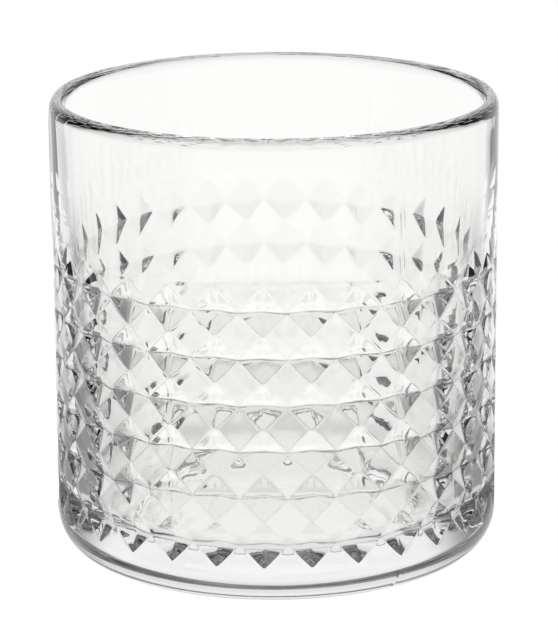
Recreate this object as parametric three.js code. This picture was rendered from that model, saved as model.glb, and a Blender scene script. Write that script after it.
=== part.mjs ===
// A press-moulded glass whiskey tumbler: one piece of glass with a smooth upper band,
// a rounded rim, a thick floor and six rings of diamond-shaped notches round the body.
//
// Millimetres, +Z up, standing on z = 0 with the axis of the glass on the Z axis.

import * as THREE from "three";

// Outside
const HEIGHT = 87.2;
const RIM_RADIUS = 42.0;          // widest place, just under the rim
const BAND_FOOT_RADIUS = 41.85;   // the smooth band narrows to this above the notches
const BODY_RADIUS = 41.9;         // cylinder that the ridges between the notches lie on
const BASE_ROUND_IN = 6.8;        // the corner under the body, measured inwards
const BASE_ROUND_UP = 7.4;        // the same corner, measured upwards

// The rim is rounded over as half an ellipse, taller than it is wide
const RIM_ROUND_ACROSS = 1.5;     // from its crest outwards, and the same inwards
const RIM_ROUND_DOWN = 2.5;

// Notches: diamonds touching corner to corner, deepest in the middle
const COLUMNS = 30;
const ROWS = 6;
const NOTCH_DEPTH = 1.2;
const NOTCH_HEIGHT = 8.67;
const NOTCHES_FOOT = 8.1;         // height of the lowest corners
const BAND_STEP = 0.6;            // the band meets the ridges over this height

// Underside: a shallow hollow leaves a flat ring to stand on
const HOLLOW_RADIUS = 27.2;
const HOLLOW_DEPTH = 0.3;

// Inside
const FLOOR_THICKNESS = 8.0;
const FLOOR_DISH = 0.5;           // the middle of the floor is this much lower than its edge
const FLOOR_ROUND = 6.0;          // corner between floor and wall
const BORE_DRAFT = Math.tan(THREE.MathUtils.degToRad(2.6));

// Fineness of the round stretches
const SPOKES = 2 * COLUMNS;
const ARC_STEPS = 6;

const crestRadius = RIM_RADIUS - RIM_ROUND_ACROSS;
const boreTopRadius = crestRadius - RIM_ROUND_ACROSS;
const boreTopZ = HEIGHT - RIM_ROUND_DOWN;
const notchesTop = NOTCHES_FOOT + ROWS * NOTCH_HEIGHT;
const boreRadius = (z) => boreTopRadius - (boreTopZ - z) * BORE_DRAFT;

// Rings are [radius, z] pairs in the half plane through the axis.

function arc(centreR, centreZ, reachR, reachZ, fromDegrees, toDegrees, steps) {
  const rings = [];
  for (let i = 0; i <= steps; i += 1) {
    const angle = THREE.MathUtils.degToRad(fromDegrees + ((toDegrees - fromDegrees) * i) / steps);
    rings.push([centreR + reachR * Math.cos(angle), centreZ + reachZ * Math.sin(angle)]);
  }
  return rings;
}

// From half way out on the floor, round its corner to the foot of the straight wall.
function floorRings() {
  const roundTopZ = FLOOR_THICKNESS + FLOOR_ROUND;
  const floorEdge = boreRadius(roundTopZ) - FLOOR_ROUND;
  const round = arc(floorEdge, roundTopZ, FLOOR_ROUND, FLOOR_ROUND, -90, 0, ARC_STEPS);
  return [[floorEdge / 2, FLOOR_THICKNESS - FLOOR_DISH * 0.75], ...round];
}

// Up the inside of the rim, over the crest and down its outside.
function rim() {
  return arc(crestRadius, boreTopZ, RIM_ROUND_ACROSS, RIM_ROUND_DOWN, 180, 0, 2 * ARC_STEPS - 4);
}

// Two rings per half notch, from the top corners down; odd rings hold the deep points.
function notchRings() {
  const rings = [];
  for (let i = 0; i <= 2 * ROWS; i += 1) {
    rings.push([BODY_RADIUS, notchesTop - (i * NOTCH_HEIGHT) / 2]);
  }
  return rings;
}

function base() {
  const corner = arc(
    BODY_RADIUS - BASE_ROUND_IN, BASE_ROUND_UP, BASE_ROUND_IN, BASE_ROUND_UP, 0, -90, ARC_STEPS + 2,
  );
  const hollowEdge = HOLLOW_RADIUS - 2 * HOLLOW_DEPTH;
  return [...corner, [HOLLOW_RADIUS, 0], [hollowEdge, HOLLOW_DEPTH]];
}

// Radius at one crossing of ring and spoke: notch middles lie on even spokes of odd rings.
function radiusAt(ring, spoke, radius, firstNotchRing) {
  const row = ring - firstNotchRing;
  const inNotches = row >= 0 && row <= 2 * ROWS;
  const isMiddle = inNotches && row % 2 === 1 && spoke % 2 === 0;
  return isMiddle ? radius - NOTCH_DEPTH : radius;
}

// One closed skin: floor centre, up the inside, over the rim, down the outside, underside centre.
function tumblerGeometry() {
  const before = [...floorRings(), ...rim(), [BAND_FOOT_RADIUS, notchesTop + BAND_STEP]];
  const rings = [...before, ...notchRings(), ...base()];
  const firstNotchRing = before.length;
  const points = [];
  rings.forEach(([radius, z], ring) => {
    for (let spoke = 0; spoke < SPOKES; spoke += 1) {
      const angle = (2 * Math.PI * spoke) / SPOKES;
      const r = radiusAt(ring, spoke, radius, firstNotchRing);
      points.push(r * Math.sin(angle), -r * Math.cos(angle), z);
    }
  });
  const floorCentre = rings.length * SPOKES;
  const underCentre = floorCentre + 1;
  points.push(0, 0, FLOOR_THICKNESS - FLOOR_DISH, 0, 0, HOLLOW_DEPTH);

  const faces = [];
  const lastRing = (rings.length - 1) * SPOKES;
  for (let spoke = 0; spoke < SPOKES; spoke += 1) {
    const next = (spoke + 1) % SPOKES;
    faces.push(floorCentre, spoke, next);
    faces.push(underCentre, lastRing + next, lastRing + spoke);
  }
  for (let ring = 0; ring + 1 < rings.length; ring += 1) {
    for (let spoke = 0; spoke < SPOKES; spoke += 1) {
      const next = (spoke + 1) % SPOKES;
      const a = ring * SPOKES + spoke;
      const b = ring * SPOKES + next;
      const c = a + SPOKES;
      const d = b + SPOKES;
      // the cut of each four-sided patch follows the ridge between two notches
      const ridgeFromA = (ring - firstNotchRing + spoke) % 2 === 0;
      if (ridgeFromA) faces.push(a, c, d, a, d, b);
      else faces.push(a, c, b, b, c, d);
    }
  }
  const geometry = new THREE.BufferGeometry();
  geometry.setAttribute("position", new THREE.Float32BufferAttribute(points, 3));
  geometry.setIndex(faces);
  geometry.computeVertexNormals();
  return geometry;
}

const glass = new THREE.MeshStandardMaterial({
  name: "glass", color: 0xeef2f0, roughness: 0.03, metalness: 0, transparent: true, opacity: 0.35,
});

const tumbler = new THREE.Mesh(tumblerGeometry(), glass);
tumbler.name = "tumbler";

const part = new THREE.Group();
part.name = "whiskey_tumbler";
part.add(tumbler);

export default part;
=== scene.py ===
"""Whiskey tumbler: one piece of clear pressed glass on a pale light table."""

import math

import bmesh
import bpy
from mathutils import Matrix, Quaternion, Vector


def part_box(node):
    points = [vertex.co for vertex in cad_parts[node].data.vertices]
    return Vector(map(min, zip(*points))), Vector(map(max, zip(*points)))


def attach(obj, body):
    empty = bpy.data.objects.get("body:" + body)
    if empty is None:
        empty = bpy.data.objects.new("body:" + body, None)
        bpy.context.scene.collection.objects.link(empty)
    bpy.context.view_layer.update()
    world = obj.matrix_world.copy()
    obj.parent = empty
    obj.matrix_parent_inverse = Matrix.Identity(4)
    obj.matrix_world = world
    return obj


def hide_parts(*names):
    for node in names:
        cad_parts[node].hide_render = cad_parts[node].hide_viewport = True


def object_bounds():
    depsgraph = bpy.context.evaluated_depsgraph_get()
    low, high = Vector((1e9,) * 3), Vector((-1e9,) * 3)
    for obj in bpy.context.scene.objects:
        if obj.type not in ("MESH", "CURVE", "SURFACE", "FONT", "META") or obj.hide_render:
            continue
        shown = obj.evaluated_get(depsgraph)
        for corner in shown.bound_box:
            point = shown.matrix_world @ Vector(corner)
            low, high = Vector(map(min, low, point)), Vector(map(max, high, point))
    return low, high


MM = 0.001

# ---------------------------------------------------------------- the frame and driving sizes

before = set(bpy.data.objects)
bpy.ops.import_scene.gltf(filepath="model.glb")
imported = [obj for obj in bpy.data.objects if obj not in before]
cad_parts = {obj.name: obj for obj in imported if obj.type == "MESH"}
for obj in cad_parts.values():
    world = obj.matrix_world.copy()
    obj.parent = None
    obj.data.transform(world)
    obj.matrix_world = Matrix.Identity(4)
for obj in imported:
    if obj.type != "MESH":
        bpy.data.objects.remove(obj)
cad_low, cad_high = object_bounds()
glass_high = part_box("tumbler")[1]

HEIGHT = glass_high.z
RIM_RADIUS = glass_high.x

COLUMNS = 30
ROWS = 6
BODY_RADIUS = RIM_RADIUS - 0.1 * MM
NOTCH_DEPTH = 1.2 * MM
NOTCH_HEIGHT = 8.67 * MM
NOTCHES_FOOT = 8.1 * MM
NOTCHES_TOP = NOTCHES_FOOT + ROWS * NOTCH_HEIGHT
BASE_ROUND_IN = 6.8 * MM
BASE_ROUND_UP = 7.4 * MM
HOLLOW_RADIUS = 27.2 * MM
HOLLOW_DEPTH = 0.3 * MM
FLOOR_THICKNESS = 8.0 * MM
FLOOR_DISH = 0.5 * MM
FLOOR_ROUND = 6.0 * MM
LIP_ACROSS = 1.5 * MM     # the rim is half an ellipse: this is half its width
LIP_HEIGHT = 2.5 * MM     # and this its height
BORE_TOP_RADIUS = RIM_RADIUS - 2 * LIP_ACROSS
LIP_FOOT = HEIGHT - LIP_HEIGHT
BORE_DRAFT = math.tan(math.radians(2.6))
BAND_TAPER = 0.15 * MM    # the smooth band is this much narrower at its foot
BAND_STEP = 1.0 * MM      # and meets the notches over this height

# How far the ridges and folds of the net are rounded, as shares of the way from a ridge to the
# deepest point
RIDGE_ROUNDING = 0.05
FOLD_ROUNDING = 0.08

# Fineness of the mesh: steps along each stretch of the profile
FLOOR_STEPS = 9
FLOOR_ROUND_STEPS = 12
BORE_STEPS = 48
LIP_STEPS = 16
BAND_STEPS = 16
BAND_FOOT_STEPS = 3
BASE_ROUND_STEPS = 18
STANDING_RING_STEPS = 2
HOLLOW_EDGE_STEPS = 3
HOLLOW_STEPS = 5
WELD_DISTANCE = 0.002 * MM    # vertices closer than this become one

# The seams of the three-part mould. They fade out at the polished rim and at the foot.
MOULD_PARTS = 3
FIRST_SEAM = 36           # degrees to the right of the front
SEAM_ANGLES = [math.radians(FIRST_SEAM + 360 / MOULD_PARTS * part) for part in range(MOULD_PARTS)]
SEAM_HEIGHT = 0.09 * MM
SEAM_WIDTH = 0.2 * MM
RIM_FADE = 2 * MM
FOOT_FADE = 1 * MM

# The plunger and the cooling left the bore slightly uneven. Waves: how many round the bore, their
# depth and their start. Dimples are in the lower part, and their size is the height over which the
# pattern moves on by one radian.
BORE_WAVES = (
    (5, 0.030 * MM, 0.4),
    (13, 0.016 * MM, 1.9),
    (29, 0.006 * MM, 0.9),
    (47, 0.003 * MM, 2.6),
)
BORE_FLOOR_FADE = 4 * MM
DIMPLE_DEPTH = 0.016 * MM
DIMPLE_SIZE = 1.3 * MM
DIMPLE_TOP = 60 * MM
DIMPLE_FADE = 15 * MM
DIMPLE_COLUMNS = 17
COLUMN_SWAY = 0.9         # how far the columns of dimples sway on their way up
COLUMN_SWAY_LENGTH = 3    # in dimple sizes
ROW_SHIFT = 1.7           # how far the rows of dimples rise and fall on their way round
ROW_SHIFT_COUNT = 5

# Glass: its colour and roughness, and those of the fine lines along the folds and ridges. The
# lines' dark grey is painted shade, standing in for the dark that light bent at the folds shows.
GLASS_COLOUR = (0.992, 0.992, 0.984, 1)
PAINTED_EDGE_SHADE_COLOUR = (0.2, 0.2, 0.195, 1)
CLEAR_ROUGHNESS = 0.0
EDGE_ROUGHNESS = 0.12
REFRACTIVE_INDEX = 1.52

# The painted shade lines: how far from its middle a line starts to fade and where it ends, both as
# shares of half a notch, and its strength in the middle. Noise makes the lines patchy and lets them
# stray a little.
FOLD_SHADE_LINE = (0.01, 0.055, 1)
RIDGE_SHADE_LINE = (0.008, 0.04, 0.32)
LINES_MIDDLE_STRENGTH = 0.75
LINES_PATCHINESS = 2.4
LINES_STRAY = 0.12
NOISE_SCALE = 330
NOISE_DETAIL = 2
# They are only on the outside, which starts between these depths under the ridges.
OUTSIDE_FROM_DEPTH = 1.6 * MM
OUTSIDE_FULL_DEPTH = 1.4 * MM

# Brightness of the studio, 1 being white. The sides are dark, as with black cards beside a glass.
# These shades and the table's began as a least-squares fit of the light to the photograph. They
# were then rounded, merged into fewer steps and partly set one by one.
BACK_LIGHT = 0.85
SIDE_LIGHT = 0.03
FRONT_LIGHT = 0.22
TOP_LIGHT = 0.32
# The table behind the glass, beside it and in front: distance from the axis and brightness there.
# In front, the glass has its shadow, and beyond the shadow the table is lit more strongly.
BACK_TABLE = ((45 * MM, 0.8), (50 * MM, 0.64), (60 * MM, 0.82), (100 * MM, 0.9), (250 * MM, 1.0))
SIDE_TABLE = ((50 * MM, 0.8), (60 * MM, 0.3), (190 * MM, 0.22), (240 * MM, 0.8))
FRONT_TABLE = (
    (39 * MM, 0.82),
    (41 * MM, 0.0),
    (45 * MM, 0.0),
    (47 * MM, 1.8),
    (110 * MM, 1.6),
    (160 * MM, 0.9),
)

# Where one part of the studio passes into the next. Turns start straight behind the glass.
TABLE_SIDE_TURNS = (math.radians(34), math.radians(70))
TABLE_FRONT_TURNS = (math.radians(105), math.radians(130))
WALL_SIDE_TURNS = (math.radians(34), math.radians(62))
WALL_FRONT_TURNS = (math.radians(110), math.radians(140))
TOP_ELEVATIONS = (math.radians(45), math.radians(55))

TABLE_RADIUS = 3.0        # metres
TABLE_SEGMENTS = 96
TABLE_GAP = 0.05 * MM

# Longer paths of light end dark. More bounces leave noise in the rim and the foot's corner.
LIGHT_BOUNCES = 11

CAMERA_LENS = 190
CAMERA_SENSOR = 36
CAMERA_AZIMUTH = math.radians(3.1)
CAMERA_ELEVATION = math.radians(15.33)
CAMERA_ROLL = math.radians(-0.36)
CAMERA_DISTANCE = 643 * MM
CAMERA_NEAR = 0.01        # metres
CAMERA_FAR = 20
TARGET_BELOW_MIDDLE = 0.5 * MM
TARGET_TO_THE_RIGHT = 0.7 * MM


# ---------------------------------------------------------------- the glass

def bore_radius(z):
    return BORE_TOP_RADIUS - (LIP_FOOT - z) * BORE_DRAFT


def fade_in(distance, reach):
    """0 up to where distance is 0, and 1 from reach on."""
    return min(1, max(0, distance / reach))


def bore_waves(angle, z):
    """Slow upright waves round the wall of the bore."""
    height = 0
    for count, depth, start in BORE_WAVES:
        height += depth * math.sin(count * angle + start + z / HEIGHT)
    return height


def bore_dimples(angle, z):
    """Shallow dimples in swaying columns and wavy rows."""
    upwards = z / DIMPLE_SIZE
    sway = COLUMN_SWAY * math.sin(upwards / COLUMN_SWAY_LENGTH)
    shift = ROW_SHIFT * math.sin(ROW_SHIFT_COUNT * angle)
    dimples = math.sin(DIMPLE_COLUMNS * angle + sway) * math.sin(upwards + shift)
    return DIMPLE_DEPTH * fade_in(DIMPLE_TOP - z, DIMPLE_FADE) * dimples


def inside_relief(angle, z):
    """The unevenness of the bore, faded out at the floor and the rim."""
    above_floor = fade_in(z - FLOOR_THICKNESS, BORE_FLOOR_FADE)
    below_rim = fade_in(LIP_FOOT - z, RIM_FADE)
    return (bore_waves(angle, z) + bore_dimples(angle, z)) * above_floor * below_rim


def seam_relief(angle, z):
    """The raised lines left by the mould's joint. The polished rim and the foot have none."""
    fade = fade_in(LIP_FOOT - z, RIM_FADE) * fade_in(z, FOOT_FADE)
    height = 0
    for seam in SEAM_ANGLES:
        turn = math.remainder(angle - seam, 2 * math.pi)
        height += SEAM_HEIGHT * math.exp(-(turn * BODY_RADIUS / SEAM_WIDTH) ** 2)
    return height * fade


def arc(centre_r, centre_z, reach_r, reach_z, from_degrees, to_degrees, steps):
    """Points (radius, z) along a quarter of an ellipse, both ends included."""
    points = []
    for i in range(steps + 1):
        angle = math.radians(from_degrees + (to_degrees - from_degrees) * i / steps)
        points.append((centre_r + reach_r * math.cos(angle), centre_z + reach_z * math.sin(angle)))
    return points


def line(start, end, steps):
    """Points between start and end, without the start."""
    (r0, z0), (r1, z1) = start, end
    return [(r0 + (r1 - r0) * i / steps, z0 + (z1 - z0) * i / steps) for i in range(1, steps + 1)]


def inside_profile():
    """From next to the middle of the floor up to the start of the rim."""
    round_top = FLOOR_THICKNESS + FLOOR_ROUND
    floor_edge = bore_radius(round_top) - FLOOR_ROUND
    points = []
    for i in range(1, FLOOR_STEPS):
        share = i / FLOOR_STEPS
        points.append((floor_edge * share, FLOOR_THICKNESS - FLOOR_DISH * (1 - share * share)))
    points += arc(floor_edge, round_top, FLOOR_ROUND, FLOOR_ROUND, -90, 0, FLOOR_ROUND_STEPS)
    points += line(points[-1], (BORE_TOP_RADIUS, LIP_FOOT), BORE_STEPS)
    lip = arc(RIM_RADIUS - LIP_ACROSS, LIP_FOOT, LIP_ACROSS, LIP_HEIGHT, 180, 90, LIP_STEPS)
    return points + lip[1:]


def band_profile():
    """From the crest of the rim down the smooth band to the top of the notches."""
    points = arc(RIM_RADIUS - LIP_ACROSS, LIP_FOOT, LIP_ACROSS, LIP_HEIGHT, 90, 0, LIP_STEPS)
    drop = NOTCHES_TOP + BAND_STEP - LIP_FOOT
    for i in range(1, BAND_STEPS + 1):
        share = i / BAND_STEPS
        points.append((RIM_RADIUS - BAND_TAPER * share * share, LIP_FOOT + drop * share))
    points += line(points[-1], (BODY_RADIUS, NOTCHES_TOP), BAND_FOOT_STEPS)
    return points


def base_profile():
    """From the foot of the notches round the corner to next to the middle of the underside."""
    centre = BODY_RADIUS - BASE_ROUND_IN
    points = arc(centre, BASE_ROUND_UP, BASE_ROUND_IN, BASE_ROUND_UP, 0, -90, BASE_ROUND_STEPS)
    points += line(points[-1], (HOLLOW_RADIUS, 0), STANDING_RING_STEPS)
    hollow_edge = HOLLOW_RADIUS - 2 * HOLLOW_DEPTH
    points += line(points[-1], (hollow_edge, HOLLOW_DEPTH), HOLLOW_EDGE_STEPS)
    innermost = HOLLOW_RADIUS / (HOLLOW_STEPS + 1)
    points += line(points[-1], (innermost, HOLLOW_DEPTH), HOLLOW_STEPS)
    return points


def soft_abs(x, softness):
    """|x| with its corner at 0 rounded off, still 1 at 1."""
    return (math.hypot(x, softness) - softness) / (math.hypot(1, softness) - softness)


def soft_ramp(x, softness):
    """max(0, x) with its corner at 0 rounded off."""
    return (x + math.hypot(x, softness)) / 2


def notch_depth(across, up):
    """Depth at a place given in half notches from the middle of the nearest notch."""
    from_middle = soft_abs(across, FOLD_ROUNDING) + soft_abs(up, FOLD_ROUNDING)
    return NOTCH_DEPTH * soft_ramp(1 - from_middle, RIDGE_ROUNDING)


# How far the mesh lines of a cell lie from the middle of the notch: 1 is the ridge, 2 the middle
# of the smooth diamond beyond it. ACROSS has the shares of such a line at which the others cross it.
# All crowd together where the surface bends.
NOTCH_LINES = (0, 0.03, 0.08, 0.3, 0.6, 0.82, 0.9, 0.95, 0.98, 1)
SMOOTH_LINES = (1, 1.02, 1.05, 1.1, 1.2, 1.4, 1.7, 2)
ACROSS = (0, 0.03, 0.08, 0.25, 0.5, 0.75, 0.92, 0.97, 1)


def cell_point(from_middle, share):
    """Place in a cell of the net, which is 1 by 1, with the notch's middle in its corner at 0, 0."""
    if from_middle <= 1:
        return from_middle * (1 - share), from_middle * share
    beyond = from_middle - 1
    return 1 - share * (2 - from_middle), beyond + share * (2 - from_middle)


def add_cell(mesh, column, row):
    """One quarter of a notch and a quarter of the smooth diamond next to it."""
    middle_column = column if column % 2 == 0 else column + 1
    middle_row = row if row % 2 == 1 else row + 1
    step_column = 1 if middle_column == column else -1
    step_row = 1 if middle_row == row else -1
    lines = NOTCH_LINES + SMOOTH_LINES[1:]
    grid = []
    for from_middle in lines:
        points = []
        for share in ACROSS:
            across, up = cell_point(from_middle, share)
            angle = math.pi / COLUMNS * (middle_column + step_column * across)
            z = NOTCHES_FOOT + NOTCH_HEIGHT / 2 * (middle_row + step_row * up)
            radius = BODY_RADIUS - notch_depth(across, up) + seam_relief(angle, z)
            points.append(mesh.verts.new((radius * math.sin(angle), -radius * math.cos(angle), z)))
        grid.append(points)
    add_quads(mesh, grid, flip=step_column * step_row < 0)


def add_quads(mesh, grid, flip):
    """Faces between the neighbouring rows of a grid of vertices."""
    for low, high in zip(grid, grid[1:]):
        for i in range(len(low) - 1):
            corners = (low[i], low[i + 1], high[i + 1], high[i])
            mesh.faces.new(reversed(corners) if flip else corners)


def ring_angles():
    """Angles of the net's edge vertices, so that the smooth parts meet the notches exactly."""
    cell = math.pi / COLUMNS
    from_corner = [place - 1 for place in SMOOTH_LINES]
    angles = []
    for column in range(2 * COLUMNS):
        if column % 2 == 0:
            angles += [cell * (column + step) for step in from_corner[:-1]]
        else:
            angles += [cell * (column + 1 - step) for step in reversed(from_corner[1:])]
    return angles


def add_revolved(mesh, profile, angles, relief, centre_z=None, centre_first=True):
    """Turns a profile round the axis, and closes it with a fan where it reaches the axis.

    relief(angle, z) is added to the radius.
    """
    rings = []
    for radius, z in profile:
        ring = []
        for angle in angles:
            reach = radius + relief(angle, z)
            ring.append(mesh.verts.new((reach * math.sin(angle), -reach * math.cos(angle), z)))
        rings.append(ring)
    closed = [ring + ring[:1] for ring in rings]
    add_quads(mesh, closed, flip=False)
    if centre_z is not None:
        centre = mesh.verts.new((0, 0, centre_z))
        edge = closed[0] if centre_first else closed[-1]
        for a, b in zip(edge, edge[1:]):
            mesh.faces.new((centre, a, b) if centre_first else (centre, b, a))


def make_tumbler():
    """The whole glass as one closed mesh: bore, band, net of notches and base."""
    mesh = bmesh.new()
    angles = ring_angles()
    floor_centre = FLOOR_THICKNESS - FLOOR_DISH
    add_revolved(mesh, inside_profile(), angles, inside_relief, centre_z=floor_centre)
    add_revolved(mesh, band_profile(), angles, seam_relief)
    for row in range(2 * ROWS):
        for column in range(2 * COLUMNS):
            add_cell(mesh, column, row)
    base = [(BODY_RADIUS, NOTCHES_FOOT)] + base_profile()
    add_revolved(mesh, base, angles, seam_relief, centre_z=HOLLOW_DEPTH, centre_first=False)
    bmesh.ops.remove_doubles(mesh, verts=mesh.verts, dist=WELD_DISTANCE)
    bmesh.ops.recalc_face_normals(mesh, faces=mesh.faces)
    data = bpy.data.meshes.new("tumbler_glass")
    mesh.to_mesh(data)
    mesh.free()
    data.polygons.foreach_set("use_smooth", [True] * len(data.polygons))
    tumbler = bpy.data.objects.new("tumbler_glass", data)
    bpy.context.scene.collection.objects.link(tumbler)
    return tumbler


# ---------------------------------------------------------------- materials

def new_material(name):
    material = bpy.data.materials.new(name)
    material.use_nodes = True
    nodes = material.node_tree.nodes
    return material, nodes, material.node_tree.links, nodes["Principled BSDF"]


class NodeTools:
    """Short ways to add the few kinds of node that the materials and the studio light use."""

    def __init__(self, nodes, links):
        self.nodes = nodes
        self.links = links

    def put(self, value, socket):
        if isinstance(value, (int, float)):
            socket.default_value = value
        else:
            self.links.new(value, socket)

    def math(self, operation, *values):
        node = self.nodes.new("ShaderNodeMath")
        node.operation = operation
        for value, socket in zip(values, node.inputs):
            self.put(value, socket)
        return node.outputs[0]

    def length(self, x, y):
        squares = self.math("ADD", self.math("MULTIPLY", x, x), self.math("MULTIPLY", y, y))
        return self.math("SQRT", squares)

    def blend(self, share, a, b):
        """a where share is 0, b where it is 1."""
        node = self.nodes.new("ShaderNodeMix")
        self.put(share, node.inputs["Factor"])
        self.put(a, node.inputs["A"])
        self.put(b, node.inputs["B"])
        return node.outputs["Result"]

    def blend_colours(self, share, a, b):
        """The same for two colours. The node's sockets share their names with those for numbers."""
        node = self.nodes.new("ShaderNodeMix")
        node.data_type = "RGBA"
        node.clamp_factor = True
        self.put(share, node.inputs["Factor"])
        colour_a, colour_b = [socket for socket in node.inputs if socket.type == "RGBA"]
        colour_a.default_value = a
        colour_b.default_value = b
        return next(socket for socket in node.outputs if socket.type == "RGBA")

    def smooth(self, value, start, end, low, high):
        """low up to start, high from end on, and an even bend between them."""
        node = self.nodes.new("ShaderNodeMapRange")
        node.interpolation_type = "SMOOTHSTEP"
        self.put(value, node.inputs["Value"])
        for name, number in zip(("From Min", "From Max", "To Min", "To Max"), (start, end, low, high)):
            node.inputs[name].default_value = number
        return node.outputs["Result"]

    def split(self, vector):
        node = self.nodes.new("ShaderNodeSeparateXYZ")
        self.links.new(vector, node.inputs[0])
        return node.outputs

    def shades(self, distance, stops):
        """Brightness along a distance, from (distance, brightness) pairs, even before and beyond."""
        far = stops[-1][0]
        share = self.math("DIVIDE", distance, far)
        node = self.nodes.new("ShaderNodeValToRGB")
        ramp = node.color_ramp
        ramp.interpolation = "EASE"
        any_place = 0.5
        while len(ramp.elements) < len(stops):
            ramp.elements.new(any_place)
        for element, (place, brightness) in zip(ramp.elements, stops):
            element.position = place / far
            element.color = (brightness, brightness, brightness, 1)
        self.links.new(share, node.inputs["Fac"])
        return node.outputs["Color"]

    def turn_from_back(self, x, y):
        """Angle away from straight behind the glass, 0 to pi, the same to the left and the right."""
        return self.math("ABSOLUTE", self.math("ARCTAN2", x, y))


def make_glass():
    """Clear glass with painted shade along the folds and ridges of the mould's net, also rougher there.
    """
    material, nodes, links, shader = new_material("clear_glass")
    tools = NodeTools(nodes, links)
    place = nodes.new("ShaderNodeTexCoord").outputs["Object"]
    x, y, z = tools.split(place)
    noise = nodes.new("ShaderNodeTexNoise")
    noise.inputs["Scale"].default_value = NOISE_SCALE
    noise.inputs["Detail"].default_value = NOISE_DETAIL
    links.new(place, noise.inputs["Vector"])
    uneven = tools.math("SUBTRACT", noise.outputs["Fac"], 0.5)

    # places in the net: notches have their middles where the column is even and the row odd
    turn = tools.math("ARCTAN2", x, tools.math("MULTIPLY", y, -1))
    column = tools.math("MULTIPLY", turn, COLUMNS / math.pi)
    row = tools.math("MULTIPLY_ADD", z, 2 / NOTCH_HEIGHT, -NOTCHES_FOOT * 2 / NOTCH_HEIGHT)
    row = tools.math("MULTIPLY_ADD", uneven, LINES_STRAY, row)
    across = tools.math("PINGPONG", column, 1)
    up = tools.math("SUBTRACT", 1, tools.math("PINGPONG", row, 1))
    from_ridge = tools.math("ABSOLUTE", tools.math("SUBTRACT", tools.math("ADD", across, up), 1))
    fold = tools.smooth(up, *FOLD_SHADE_LINE, 0)
    ridge = tools.smooth(from_ridge, *RIDGE_SHADE_LINE, 0)

    reach = tools.length(x, y)
    outside_start = BODY_RADIUS - OUTSIDE_FROM_DEPTH
    outside = tools.smooth(reach, outside_start, BODY_RADIUS - OUTSIDE_FULL_DEPTH, 0, 1)
    in_net = tools.math("LESS_THAN", tools.math("ABSOLUTE", tools.math("SUBTRACT", row, ROWS)), ROWS)
    strength = tools.math("MULTIPLY_ADD", uneven, LINES_PATCHINESS, LINES_MIDDLE_STRENGTH)
    # edge marks where the painted shade lines lie; it also sets their roughness
    edge = tools.math("MULTIPLY", tools.math("MAXIMUM", fold, ridge), strength)
    edge = tools.math("MULTIPLY", tools.math("MULTIPLY", edge, outside), in_net)

    # light that leaves the glass misses the painted shade, which would show a second time on the far
    # wall
    leaving = nodes.new("ShaderNodeNewGeometry").outputs["Backfacing"]
    edge = tools.blend(leaving, edge, 0)
    # painted shade: the glass's colour turns dark grey along the folds and ridges
    colour = tools.blend_colours(edge, GLASS_COLOUR, PAINTED_EDGE_SHADE_COLOUR)
    links.new(colour, shader.inputs["Base Color"])
    links.new(tools.smooth(edge, 0, 1, CLEAR_ROUGHNESS, EDGE_ROUGHNESS), shader.inputs["Roughness"])
    shader.inputs["Transmission Weight"].default_value = 1
    shader.inputs["IOR"].default_value = REFRACTIVE_INDEX
    return material


def make_table_surface():
    """A white light table. Seen directly it is even white; as light on the glass it has its shades."""
    material, nodes, links, shader = new_material("light_table")
    tools = NodeTools(nodes, links)
    x, y, _ = tools.split(nodes.new("ShaderNodeNewGeometry").outputs["Position"])
    reach = tools.length(x, y)
    turn = tools.turn_from_back(x, y)
    beside = tools.smooth(turn, *TABLE_SIDE_TURNS, 0, 1)
    in_front = tools.smooth(turn, *TABLE_FRONT_TURNS, 0, 1)
    light = tools.blend(beside, tools.shades(reach, BACK_TABLE), tools.shades(reach, SIDE_TABLE))
    light = tools.blend(in_front, light, tools.shades(reach, FRONT_TABLE))
    camera_ray = nodes.new("ShaderNodeLightPath").outputs["Is Camera Ray"]
    light = tools.blend(camera_ray, light, 1.0)
    shader.inputs["Base Color"].default_value = (0, 0, 0, 1)
    shader.inputs["Roughness"].default_value = 1
    shader.inputs["Specular IOR Level"].default_value = 0
    shader.inputs["Emission Color"].default_value = (1, 1, 1, 1)
    links.new(light, shader.inputs["Emission Strength"])
    return material


# ---------------------------------------------------------------- the studio

def make_floor():
    """A round table far wider than the picture, just under the glass."""
    data = bpy.data.meshes.new("table")
    mesh = bmesh.new()
    bmesh.ops.create_circle(mesh, cap_ends=True, segments=TABLE_SEGMENTS, radius=TABLE_RADIUS)
    mesh.to_mesh(data)
    mesh.free()
    floor = bpy.data.objects.new("table", data)
    floor.location.z = cad_low.z - TABLE_GAP
    bpy.context.scene.collection.objects.link(floor)
    surface = make_table_surface()
    surface.cycles.emission_sampling = "NONE"
    data.materials.append(surface)


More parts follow.
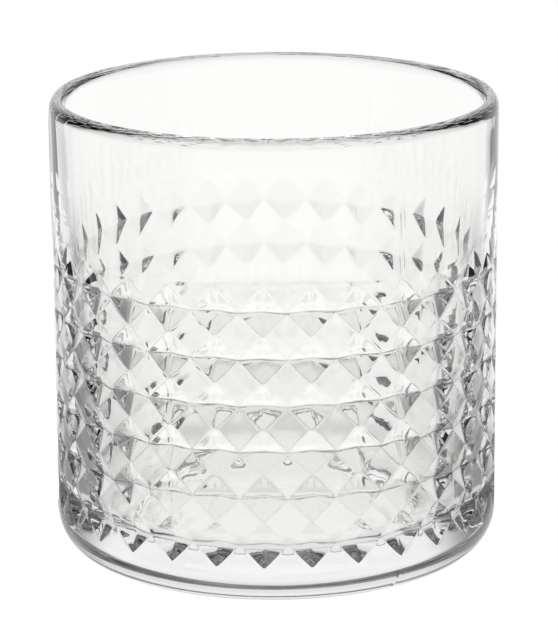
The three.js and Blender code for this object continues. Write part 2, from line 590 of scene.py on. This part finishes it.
def make_world():
    """Bright behind the glass, dark to both sides, dim in front and above: edges turn grey and black.

    Seen directly, the background is even white, like the table.
    """
    world = bpy.data.worlds.new("studio")
    bpy.context.scene.world = world
    world.use_nodes = True
    nodes, links = world.node_tree.nodes, world.node_tree.links
    tools = NodeTools(nodes, links)
    x, y, z = tools.split(nodes.new("ShaderNodeTexCoord").outputs["Generated"])
    turn = tools.turn_from_back(x, y)
    wall = tools.smooth(turn, *WALL_SIDE_TURNS, BACK_LIGHT, SIDE_LIGHT)
    in_front = tools.smooth(turn, *WALL_FRONT_TURNS, 0, 1)
    wall = tools.blend(in_front, wall, FRONT_LIGHT)
    top_start, top_full = TOP_ELEVATIONS
    above = tools.smooth(z, math.sin(top_start), math.sin(top_full), 0, 1)
    light = tools.blend(above, wall, TOP_LIGHT)
    camera_ray = nodes.new("ShaderNodeLightPath").outputs["Is Camera Ray"]
    light = tools.blend(camera_ray, light, 1.0)
    links.new(light, nodes["Background"].inputs["Strength"])
    nodes["Background"].inputs["Color"].default_value = (1, 1, 1, 1)


def make_camera():
    """A long lens that looks down on the glass at an angle, from slightly right of its front."""
    data = bpy.data.cameras.new("camera")
    data.lens = CAMERA_LENS
    data.sensor_width = CAMERA_SENSOR
    camera = bpy.data.objects.new("camera", data)
    bpy.context.scene.collection.objects.link(camera)
    bpy.context.scene.camera = camera
    level = Vector((math.sin(CAMERA_AZIMUTH), -math.cos(CAMERA_AZIMUTH), 0))
    side = Vector((math.cos(CAMERA_AZIMUTH), math.sin(CAMERA_AZIMUTH), 0))
    target = Vector((0, 0, HEIGHT / 2 - TARGET_BELOW_MIDDLE)) + side * TARGET_TO_THE_RIGHT
    back = level * math.cos(CAMERA_ELEVATION) + Vector((0, 0, math.sin(CAMERA_ELEVATION)))
    camera.location = target + back * CAMERA_DISTANCE
    camera.rotation_mode = "QUATERNION"
    roll = Quaternion((0, 0, 1), CAMERA_ROLL)
    camera.rotation_quaternion = (-back).to_track_quat("-Z", "Y") @ roll
    data.clip_start = CAMERA_NEAR
    data.clip_end = CAMERA_FAR


def set_light_paths():
    """How far light is followed, plain colours without a film look, and what the denoiser sees."""
    scene = bpy.context.scene
    scene.view_settings.view_transform = "Standard"
    scene.cycles.max_bounces = LIGHT_BOUNCES
    scene.cycles.transmission_bounces = LIGHT_BOUNCES
    scene.cycles.glossy_bounces = LIGHT_BOUNCES
    scene.cycles.caustics_refractive = True
    scene.cycles.denoising_input_passes = "RGB"


tumbler = make_tumbler()
tumbler.data.materials.append(make_glass())
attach(tumbler, "root")
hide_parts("tumbler")
make_floor()
make_world()
make_camera()
set_light_paths()
